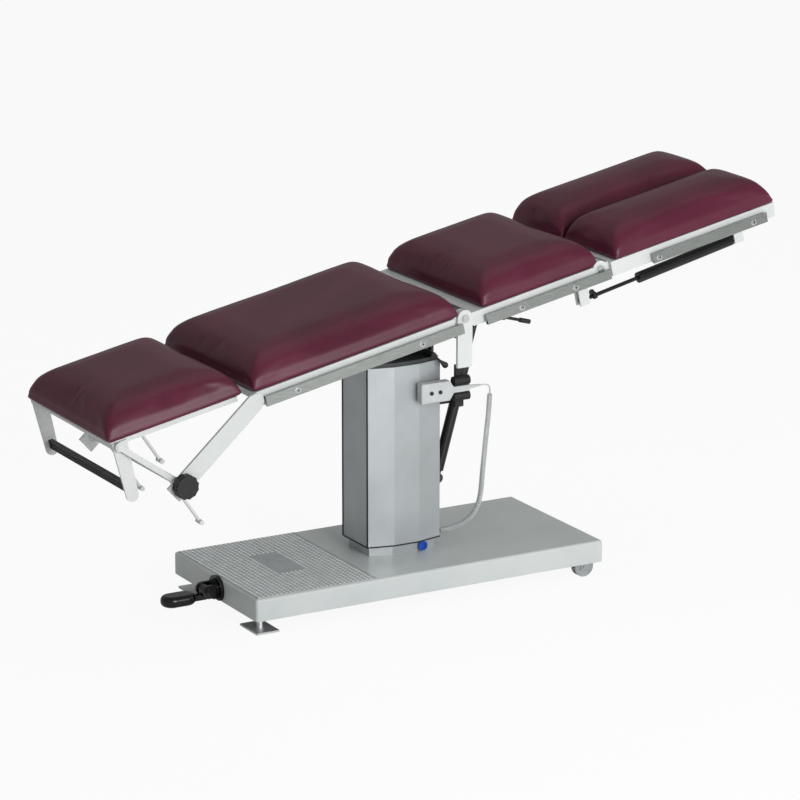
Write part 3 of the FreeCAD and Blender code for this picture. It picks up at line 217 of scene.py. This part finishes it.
# %% White powder coat
def powder_coat(name, dark, light, roughness):
    """Baked powder on steel: two close shades and a faint orange peel."""
    made, tree, shader = surface(name, light, roughness, Specular_IOR_Level=0.5)
    mottled(tree, shader, 0.2, dark, light)
    skin(tree, shader, 4 * MM, 0.06 * MM, 0.3, 2.0)
    return made


white_coat = powder_coat("powder_coat_white", "#cfd3d2", "#d7dad9", 0.36)
base_coat = powder_coat("powder_coat_pale_grey", "#c3c9c8", "#cdd2d1", 0.34)
give(base_coat, "base_cover", "base_frame")
give(white_coat, "seat_frame", "side_plates", "back_frame", "head_arms", "link_frame", "head_frame",
     "handle_arms", "near_leg_frame", "far_leg_frame")
print("powder coats:", white_coat.name, base_coat.name)

# %% [markdown]
# Rails are cold-drawn stainless steel, brushed along their length. The brush leaves fine lines
# under a millimetre apart, drawn here as noise stretched fifty times along the bar. The column's
# cover is sheet under satin silver paint: the flakes shine softly and show no direction.

# %% Brushed metals
def brushed(name, dark, light, roughness, along, line=0.8 * MM):
    """Brushed metal with its lines along one axis, 0 for X and 2 for Z."""
    made, tree, shader = surface(name, light, roughness, 1.0)
    stretch = [1.0, 1.0, 1.0]
    stretch[along] = 0.02
    noise = mottled(tree, shader, line, dark, light, stretch)
    relief(tree, shader, noise.outputs["Fac"], 0.01 * MM, 0.3)
    return made


stainless = brushed("brushed_stainless_rail", "#8b8f8c", "#a6aaa7", 0.32, 0)
silver, tree, shader = surface("satin_silver_paint", "#b4b9bb", 0.38, 0.6)
mottled(tree, shader, 0.12, "#b0b5b7", "#b9bec0")
skin(tree, shader, 0.6 * MM, 0.03 * MM, 0.4, 2.0)
give(stainless, "seat_rails", "back_rails", "near_leg_rail", "far_leg_rail")
give(silver, "column_cover", "column_stage")
print("brushed:", stainless.name, silver.name)

# %% [markdown]
# Forks, bolts and screws are chrome plated: nearly mirror-like, with a faint haze. The feet are
# zinc plated, which is paler and duller. The lift screw and its tube are oiled steel, hardly seen.

# %% Bright metals
def bright(name, colour, roughness, haze):
    """Polished metal with a haze of a real size in metres."""
    made, tree, shader = surface(name, colour, roughness, 1.0)
    place = add(tree, "ShaderNodeTexCoord")
    cloud = add(tree, "ShaderNodeTexNoise", {"Vector": place.outputs["Object"]}, Scale=1 / haze, Detail=3.0)
    spread = add(tree, "ShaderNodeMapRange", {"Value": cloud.outputs["Fac"]}, To_Min=roughness * 0.8,
                 To_Max=roughness * 1.3)
    tree.links.new(spread.outputs["Result"], shader.inputs["Roughness"])
    return made


chrome = bright("chrome_plate", "#c9cbcc", 0.2, 0.02)
steel = bright("oiled_steel", "#8b8d8e", 0.28, 0.03)
zinc = bright("zinc_plate", "#dcdedf", 0.42, 0.015)
give(chrome, "wheel_forks")
give(zinc, "foot_plates", "foot_stems")
give(steel, "lift_screw", "lift_tube")
print("bright:", chrome.name, steel.name)

# %% [markdown]
# The joint between column and table top is a set of castings under paint, so it has a coarse skin. Their
# dark grey is partly their own paint and partly painted shade, standing for the shadow under the table
# frame. The struts are stoved black enamel. Knobs, levers, pedal and jaws are black nylon or rubber, and
# the handset is pale grey ABS with a fine spark-eroded texture.

# %% Castings, enamels and plastics
def moulded(name, dark, light, roughness, grit, depth):
    """A moulded or cast skin with grit of a real size in metres."""
    made, tree, shader = surface(name, light, roughness, Specular_IOR_Level=0.5)
    mottled(tree, shader, 0.03, dark, light)
    skin(tree, shader, grit, depth, 0.5)
    return made


# Dark grey castings: their own paint, and partly painted shade for the shadow under the table frame.
casting = moulded("dark_casting_painted_shade", "#2b2f30", "#383c3d", 0.5, 1.2 * MM, 0.2 * MM)
enamel = moulded("stoved_black_enamel", "#0b0b0c", "#141416", 0.24, 4 * MM, 0.03 * MM)
nylon = moulded("black_nylon", "#0d0d0e", "#171719", 0.42, 0.6 * MM, 0.06 * MM)
pedal_skin = moulded("glossy_black_abs", "#070708", "#0e0e10", 0.18, 6 * MM, 0.03 * MM)
rubber = moulded("black_rubber", "#101011", "#1a1a1b", 0.62, 0.8 * MM, 0.08 * MM)
abs_grey = moulded("spark_eroded_abs_grey", "#bcc0c0", "#c6caca", 0.46, 0.5 * MM, 0.05 * MM)
tyre_grey = moulded("grey_polyurethane", "#8d9294", "#a0a5a6", 0.5, 1 * MM, 0.04 * MM)
mat_grey = moulded("tread_rubber_grey", "#a9aeae", "#b4b8b8", 0.6, 0.8 * MM, 0.06 * MM)
socket_blue = moulded("blue_polyamide", "#0b3f9c", "#1450b8", 0.35, 0.6 * MM, 0.04 * MM)
give(casting, "column_head", "tilt_yoke", "drop_arm", "saddle_beam")
give(enamel, "tilt_strut_body", "tilt_strut_rod", "near_gas_cylinder", "near_gas_rod",
     "far_gas_cylinder", "far_gas_rod")
give(chrome, "hinge_bolts")
give(pedal_skin, "pedal_mount", "pedal_arm", "pedal_pad")
give(nylon, "star_knob", "tilt_lever", "back_lever", "button_up", "button_down", "grip_bar", "cord_gland")
give(rubber, "handset_clamp")
give(abs_grey, "handset", "strain_relief", "cord_lead", "cord_coil")
give(tyre_grey, "near_tyre", "far_tyre", "near_hub", "far_hub")
give(mat_grey, "tread_mat")
give(socket_blue, "equalising_socket")
give(vinyl, "seat_pad", "back_pad", "head_pad", "near_leg_pad", "far_leg_pad")
print("materials:", len(bpy.data.materials))

# %% [markdown]
# Every new piece is a mesh made with bmesh operators. Two functions do the repeated work: one
# turns a finished bmesh into an object that rides on its body, and one turns a profile on a lathe,
# which is how screws are really made.

# %% Piece tools
def finish_piece(name, mesh, body, material, smooth=30, replaces=()):
    """A bmesh in place as an object with a material that rides on a body."""
    bmesh.ops.recalc_face_normals(mesh, faces=mesh.faces)
    data = bpy.data.meshes.new(name)
    mesh.to_mesh(data)
    mesh.free()
    made = bpy.data.objects.new(name, data)
    bpy.context.scene.collection.objects.link(made)
    data.materials.append(material)
    data.shade_smooth()
    data.set_sharp_from_angle(angle=math.radians(smooth))
    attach(made, body)
    if replaces:
        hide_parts(*replaces)
    return made


def lathe(profile, steps=32):
    """A bmesh from (radius, height) pairs, turned about Z."""
    mesh = bmesh.new()
    points = [mesh.verts.new((r, 0, h)) for r, h in profile]
    for a, b in zip(points, points[1:]):
        mesh.edges.new((a, b))
    bmesh.ops.spin(mesh, geom=mesh.verts[:] + mesh.edges[:], axis=(0, 0, 1), angle=2 * math.pi,
                   steps=steps, use_merge=True)
    bmesh.ops.remove_doubles(mesh, verts=mesh.verts, dist=1e-6)
    return mesh


def joined(*meshes):
    """One bmesh from several, which are used up."""
    whole = bmesh.new()
    for mesh in meshes:
        data = bpy.data.meshes.new("part")
        mesh.to_mesh(data)
        mesh.free()
        whole.from_mesh(data)
        bpy.data.meshes.remove(data)
    return whole


def block(low, high, bevel):
    """A bmesh block between two corners, with rounded edges."""
    mesh = bmesh.new()
    bmesh.ops.create_cube(mesh, size=1)
    size = Vector(high) - Vector(low)
    middle = (Vector(high) + Vector(low)) / 2
    bmesh.ops.scale(mesh, vec=size, verts=mesh.verts)
    bmesh.ops.translate(mesh, vec=middle, verts=mesh.verts)
    bmesh.ops.bevel(mesh, geom=mesh.edges[:], offset=bevel, segments=2, affect="EDGES",
                    profile=0.5, material=-1)
    return mesh


NEAR = Matrix.Rotation(math.pi / 2, 4, "X")
print("a lathe piece points to the near side after", [[round(x) for x in row] for row in NEAR])

# %% [markdown]
# The handset's cord is a curly one. A thin lead leaves the strain relief and turns down, and there
# the curls begin. The route is one smooth spline whose control points are the ones that the solid
# was made from. The curls are a helix worked out by a loop, which winds round the points read from
# that spline, so it hangs and leans exactly as the route does.

# %% Cord routes
LEAD_POINTS = [(206, -100, 516), (219, -100, 517), (231, -100, 513), (236, -100, 503), (235, -100, 492)]
COIL_POINTS = [(235, -100, 492), (232, -100, 440), (225, -100, 385), (219, -101, 332), (214, -100, 280),
               (212, -98, 235), (206, -93, 195), (190, -83, 165), (167, -64, 143), (141, -46, 131),
               (116.2, -46, 131)]
LEAD_RADIUS = 1.7 * MM
CURL_RADIUS = 5.4 * MM
PITCH = 4.4 * MM
TURN_POINTS = 14


def spline(name, points, radius):
    """A smooth curve with these control points and a round section, its radius held in the points."""
    data = bpy.data.curves.new(name, "CURVE")
    data.dimensions = "3D"
    data.bevel_depth = 1 if radius else 0
    data.bevel_resolution = 4
    data.use_fill_caps = True
    line = data.splines.new("NURBS")
    line.points.add(len(points) - 1)
    for point, place in zip(line.points, points):
        point.co = (*place, 1)
        point.radius = radius
    line.order_u = 3
    line.use_endpoint_u = True
    line.resolution_u = 12
    made = bpy.data.objects.new(name, data)
    bpy.context.scene.collection.objects.link(made)
    return made


def points_of(curve):
    """The points that a curve runs through, read before it has a section."""
    keep = curve.data.bevel_depth
    curve.data.bevel_depth = 0
    mesh = bpy.data.meshes.new_from_object(curve)
    found = [v.co.copy() for v in mesh.vertices]
    bpy.data.meshes.remove(mesh)
    curve.data.bevel_depth = keep
    return found


def length_of(points):
    """The length of a run of points."""
    return sum((b - a).length for a, b in zip(points, points[1:]))


route = spline("cord_route", [drawn(*p) for p in COIL_POINTS], 0)
path = points_of(route)
bpy.data.objects.remove(route)
print("curly stretch:", round(length_of(path), 3), "m from", len(path), "points")

# %% [markdown]
# Walking along the route at an even pace, each step turns the helix by a fourteenth of a turn.
# The curls fade in and out over the first and last turn, so the wire starts on the route's own
# line, where the lead ends, and enters the gland on the gland's axis.

# %% Curly cord
def helix(path, radius, pitch, steps):
    """Points of a helix round a path, fading in and out over a turn."""
    total = length_of(path)
    count = int(total / pitch * steps)
    found, walked, index = [], 0.0, 0
    across = Vector((0, 1, 0))
    for n in range(count + 1):
        goal = total * n / count
        while index < len(path) - 2 and walked + (path[index + 1] - path[index]).length < goal:
            walked += (path[index + 1] - path[index]).length
            index += 1
        way = (path[index + 1] - path[index]).normalized()
        centre = path[index] + way * (goal - walked)
        side = (across - way * across.dot(way)).normalized()
        up = way.cross(side)
        angle = 2 * math.pi * n / steps
        fade = min(1.0, n / steps, (count - n) / steps)
        found.append(centre + (side * math.cos(angle) + up * math.sin(angle)) * radius * fade)
    return found


curls = helix(path, CURL_RADIUS, PITCH, TURN_POINTS)
curly = spline("curly_cord", curls, LEAD_RADIUS)
curly.data.splines[0].resolution_u = 2
curly.data.bevel_resolution = 2
curly.data.materials.append(abs_grey)
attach(curly, "lift")
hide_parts("cord_coil")
lead = spline("handset_lead", [drawn(*p) for p in LEAD_POINTS], LEAD_RADIUS)
lead.data.materials.append(abs_grey)
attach(lead, "lift")
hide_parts("cord_lead")
lead_length = length_of(points_of(lead))
curl_length = length_of(points_of(curly))
print("lead", round(lead_length, 3), "m, curls", round(curl_length, 3), "m of wire")

# %% [markdown]
# The cushions are foam on a board, wrapped in vinyl that is pulled down and stapled underneath.
# Pulled vinyl leaves low upright sides and broad round shoulders that meet in a soft ridge at each
# corner. Each one starts as the solid of its node, a little smaller, is remeshed into small even
# faces, and is then blown up gently as cloth, which rounds the shoulders as foam does. The cloth
# may move only a few millimetres, and its lowest edge, stapled under the board, hardly moves.

# %% Cushion tools
VOXEL = 6 * MM
SWELL = 8 * MM
STAPLED = 16 * MM
ROOM = 1 * MM
BOARD_GAP = 0.4 * MM
ROUNDING, SETTLING = 26, 3
PRESSURE = 4.0
PADS = {"head_pad": "head", "back_pad": "back", "seat_pad": "seat", "near_leg_pad": "near_leg",
        "far_leg_pad": "far_leg"}


def copy_of(node):
    """A bmesh copy of a CAD node, with its loose triangles merged."""
    mesh = bmesh.new()
    mesh.from_mesh(NODES[node].data)
    bmesh.ops.remove_doubles(mesh, verts=mesh.verts, dist=1e-5)
    return mesh


def run_modifier(piece, kind, **settings):
    """Add one modifier, set it and apply it."""
    made = piece.modifiers.new(kind.lower(), kind)
    for name, value in settings.items():
        setattr(made, name, value)
    with bpy.context.temp_override(object=piece, active_object=piece, selected_objects=[piece]):
        bpy.ops.object.modifier_apply(modifier=made.name)


def inflate(piece, pressure, cap):
    """Blow a closed mesh up as cloth for 20 frames, and cap how far each point may move."""
    start = [v.co.copy() for v in piece.data.vertices]
    made = piece.modifiers.new("cloth", "CLOTH")
    made.settings.use_pressure = True
    made.settings.uniform_pressure_force = pressure
    made.settings.effector_weights.gravity = 0
    made.settings.quality = 5
    for number in range(1, 21):
        bpy.context.scene.frame_set(number)
    with bpy.context.temp_override(object=piece, active_object=piece, selected_objects=[piece]):
        bpy.ops.object.modifier_apply(modifier=made.name)
    bpy.context.scene.frame_set(1)
    for v, before in zip(piece.data.vertices, start):
        step = v.co - before
        if step.length > cap:
            v.co = before + step.normalized() * cap


print("voxel", VOXEL, "m, swell at most", SWELL, "m")

# %% [markdown]
# The shape that goes into the remesh is the cushion turned back to level, so that shrinking it and
# flattening its underside are plain steps along the axes. It is turned into place at the end.

# %% Cushions
def cushion(node, body):
    """One upholstered cushion that replaces its solid."""
    mesh = copy_of(node)
    bmesh.ops.transform(mesh, matrix=LEVEL.inverted(), verts=mesh.verts)
    low = Vector([min(v.co[i] for v in mesh.verts) for i in range(3)])
    high = Vector([max(v.co[i] for v in mesh.verts) for i in range(3)])
    middle = (low + high) / 2
    middle.z = low.z
    size = high - low
    shrink = [(s - 2 * ROOM) / s for s in size[:2]] + [(size.z - ROOM) / size.z]
    bmesh.ops.translate(mesh, vec=-middle, verts=mesh.verts)
    bmesh.ops.scale(mesh, vec=shrink, verts=mesh.verts)
    name = node + "_cushion"
    piece = finish_piece(name, mesh, body, vinyl, replaces=[node])
    run_modifier(piece, "REMESH", mode="VOXEL", voxel_size=VOXEL)
    board = [v.co.copy() for v in piece.data.vertices]
    run_modifier(piece, "SMOOTH", factor=0.5, iterations=ROUNDING)
    inflate(piece, PRESSURE, SWELL)
    for v, held in zip(piece.data.vertices, board):
        hold = max(0.0, 1 - held.z / STAPLED)
        v.co = v.co.lerp(held, hold)
        v.co.z = max(v.co.z, BOARD_GAP)
        v.co.x = max(low.x - middle.x, min(high.x - middle.x, v.co.x))
        v.co.y = max(low.y - middle.y, min(high.y - middle.y, v.co.y))
    run_modifier(piece, "SMOOTH", factor=0.5, iterations=SETTLING)
    run_modifier(piece, "SUBSURF", levels=1, render_levels=1)
    piece.data.transform(LEVEL @ Matrix.Translation(middle))
    piece.data.shade_smooth()
    piece.data.update()
    print(name, len(piece.data.polygons), "faces,", [round(s / MM) for s in size], "mm")


for node, body in PADS.items():
    cushion(node, body)

# %% [markdown]
# The tread area at the head end of the base is a rubber mat with rows of low round studs that give
# the foot a grip. One stud is a flat cone with a bevelled top; a loop sets them on a grid 12.5 mm
# apart. A small patch between them stays bare.

# %% Tread studs
STUD_PITCH = 12.5 * MM
BARE_LOW = drawn(-360, -70, 0)
BARE_HIGH = drawn(-280, 95, 0)
STUD_HIGH = 1.6 * MM
STUD_SUNK = 0.1 * MM
mat_low, mat_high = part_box("tread_mat")


def stud():
    """One low round stud, ten-sided because there are hundreds."""
    mesh = bmesh.new()
    bmesh.ops.create_cone(mesh, cap_ends=True, segments=10, radius1=4.1 * MM, radius2=3.3 * MM,
                          depth=STUD_HIGH)
    bottom = [f for f in mesh.faces if f.normal.z < -0.9]
    bmesh.ops.delete(mesh, geom=bottom, context="FACES")
    rim = [e for e in mesh.edges if all(v.co.z > 0 for v in e.verts)]
    bmesh.ops.bevel(mesh, geom=rim, offset=0.7 * MM, segments=1, affect="EDGES", profile=0.5, material=-1)
    return mesh


one = bpy.data.meshes.new("stud")
template = stud()
template.to_mesh(one)
template.free()
studs = bmesh.new()
stud_middle = mat_high[2] + STUD_HIGH / 2 - STUD_SUNK
columns = int((mat_high[0] - mat_low[0]) / STUD_PITCH)
rows = int((mat_high[1] - mat_low[1]) / STUD_PITCH)
count = 0
for i in range(columns):
    for j in range(rows):
        x = mat_low[0] + (i + 0.5) * STUD_PITCH
        y = mat_low[1] + (j + 0.5) * (mat_high[1] - mat_low[1]) / rows
        if BARE_LOW.x < x < BARE_HIGH.x and BARE_LOW.y < y < BARE_HIGH.y:
            continue
        first = len(studs.verts)
        studs.from_mesh(one)
        studs.verts.ensure_lookup_table()
        bmesh.ops.translate(studs, vec=(x, y, stud_middle), verts=studs.verts[first:])
        count += 1
stud_white = moulded("stud_rubber_pale", "#d9dcdc", "#e2e5e5", 0.5, 0.8 * MM, 0.04 * MM)
finish_piece("tread_studs", studs, "base", stud_white, smooth=40)
print(count, "studs")

# %% [markdown]
# The column's cover has a black seam down each edge of its head-end face and a thin black trim
# round its foot. They are rubber strips pressed into the joints between the sheets.

# %% Column seams and trim
def strip(a, b, wide):
    """A thin round-edged strip from one point to another."""
    way = b - a
    mesh = block((-wide / 2, -wide / 2, 0), (wide / 2, wide / 2, way.length), wide * 0.3)
    turn = way.to_track_quat("Z", "Y").to_matrix().to_4x4()
    bmesh.ops.transform(mesh, matrix=Matrix.Translation(a) @ turn, verts=mesh.verts)
    return mesh


OUTLINE = [(-100, 64), (-100, -64), (-31, -81), (41, -81), (110, -64), (110, 64), (41, 81), (-31, 81)]
FOOT, TOP = 122, 587
SEAM, TRIM = 4 * MM, 3.4 * MM
seams = [strip(drawn(x, y, FOOT), drawn(x, y, TOP), SEAM) for x, y in OUTLINE[:2]]
trim = [strip(drawn(*a, FOOT), drawn(*b, FOOT), TRIM) for a, b in zip(OUTLINE, OUTLINE[1:] + OUTLINE[:1])]
finish_piece("column_seams", joined(*seams, *trim), "lift", rubber)
print("seams:", len(seams), "trim strips:", len(trim))

# %% [markdown]
# Socket screws hold the rails: a domed washer, a round head and a hexagonal socket, whose shade is painted
# as a black hexagon on the floor of a shallow recess in the head. The seat and back rails have them at the
# places measured in the photograph, the leg rails at both ends.

# %% Rail screws
def hex_screw(radius, proud):
    """A round-headed screw with a hexagonal socket, its axis along Z."""
    floor_at, washer = proud * 0.75, radius * 1.6
    return lathe([(0, floor_at), (radius * 0.42, floor_at), (radius * 0.5, proud), (radius * 0.8, proud),
                  (radius, proud * 0.6), (radius * 1.02, proud * 0.3), (radius * 1.5, proud * 0.22),
                  (washer, 0), (0, 0)])


def painted_socket_shade(radius, proud):
    """A black hexagon in a screw's head: painted shade of its socket."""
    mesh = bmesh.new()
    bmesh.ops.create_cone(mesh, cap_ends=True, segments=6, radius1=radius * 0.44, radius2=radius * 0.44,
                          depth=0.6 * MM, matrix=Matrix.Translation((0, 0, proud * 0.75)))
    return mesh


SCREWS = {"back": [(-410.8, -260), (-57.8, -260)], "seat": [(232, -260), (391, -260)],
          "near_leg": [(641.4, -264), (932.8, -264)]}
SCREW_W = -22.5
SCREW_RADIUS, SCREW_PROUD = 5.5 * MM, 3.4 * MM
FAR = Matrix.Rotation(-math.pi / 2, 4, "X")
for body, places in SCREWS.items():
    heads, socket_shade_pieces = [], []
    sides = (1,) if body == "near_leg" else (1, -1)
    for u, v in places:
        for side in sides:
            turn = NEAR if side > 0 else FAR
            seat_at = LEVEL @ Matrix.Translation(Vector((u, v * side, SCREW_W)) * MM) @ turn
            for maker, made in ((hex_screw, heads), (painted_socket_shade, socket_shade_pieces)):
                mesh = maker(SCREW_RADIUS, SCREW_PROUD)
                bmesh.ops.transform(mesh, matrix=seat_at, verts=mesh.verts)
                made.append(mesh)
    finish_piece(body + "_rail_screws", joined(*heads), body, chrome)
    # The black hexagons are painted shade in the screw sockets, not a black part.
    finish_piece(body + "_rail_socket_shade", joined(*socket_shade_pieces), body, enamel)
print("rail screws on", list(SCREWS))

# %% [markdown]
# The floor is a plain matt sheet, wide enough that its edge is far behind the table. To the camera
# it glows almost white, as the photograph's background does, and a trace of the soft shadow under
# the base still shows. Every other ray sees plain matt paint.

# %% Floor and world
GLOW = 0.92
FLOOR_HALF = 12
floor_paint, tree, shader = surface("matt_white_floor", "#f4f4f4", 0.8)
lit = add(tree, "ShaderNodeEmission", Strength=1.0)
lit.inputs["Color"].default_value = rgb("#ffffff")
seen = add(tree, "ShaderNodeLightPath")
share = add(tree, "ShaderNodeMath", {0: seen.outputs["Is Camera Ray"]}, operation="MULTIPLY")
share.inputs[1].default_value = GLOW
blend = add(tree, "ShaderNodeMixShader", {0: share.outputs["Value"], 1: shader.outputs["BSDF"],
                                          2: lit.outputs["Emission"]})
tree.links.new(blend.outputs["Shader"], tree.nodes["Material Output"].inputs["Surface"])
floor_mesh = bmesh.new()
bmesh.ops.create_grid(floor_mesh, x_segments=1, y_segments=1, size=FLOOR_HALF)
floor_data = bpy.data.meshes.new("floor")
floor_mesh.to_mesh(floor_data)
floor_mesh.free()
floor = bpy.data.objects.new("floor", floor_data)
bpy.context.scene.collection.objects.link(floor)
floor_data.materials.append(floor_paint)

world = bpy.data.worlds.new("studio")
bpy.context.scene.world = world
world.use_nodes = True
sky = world.node_tree
ambient = sky.nodes["Background"]
ambient.inputs["Color"].default_value = rgb("#ffffff")
ambient.inputs["Strength"].default_value = 0.34
white = add(sky, "ShaderNodeBackground", Strength=1.0)
white.inputs["Color"].default_value = rgb("#ffffff")
rays = add(sky, "ShaderNodeLightPath")
either = add(sky, "ShaderNodeMath", operation="MAXIMUM")
sky.links.new(rays.outputs["Is Camera Ray"], either.inputs[0])
sky.links.new(rays.outputs["Is Transmission Ray"], either.inputs[1])
mix = add(sky, "ShaderNodeMixShader")
sky.links.new(either.outputs["Value"], mix.inputs[0])
sky.links.new(ambient.outputs["Background"], mix.inputs[1])
sky.links.new(white.outputs["Background"], mix.inputs[2])
sky.links.new(mix.outputs["Shader"], sky.nodes["World Output"].inputs["Surface"])
bpy.context.scene.view_settings.view_transform = "Standard"
print("stage ready")

# %% Final update
bpy.context.view_layer.update()
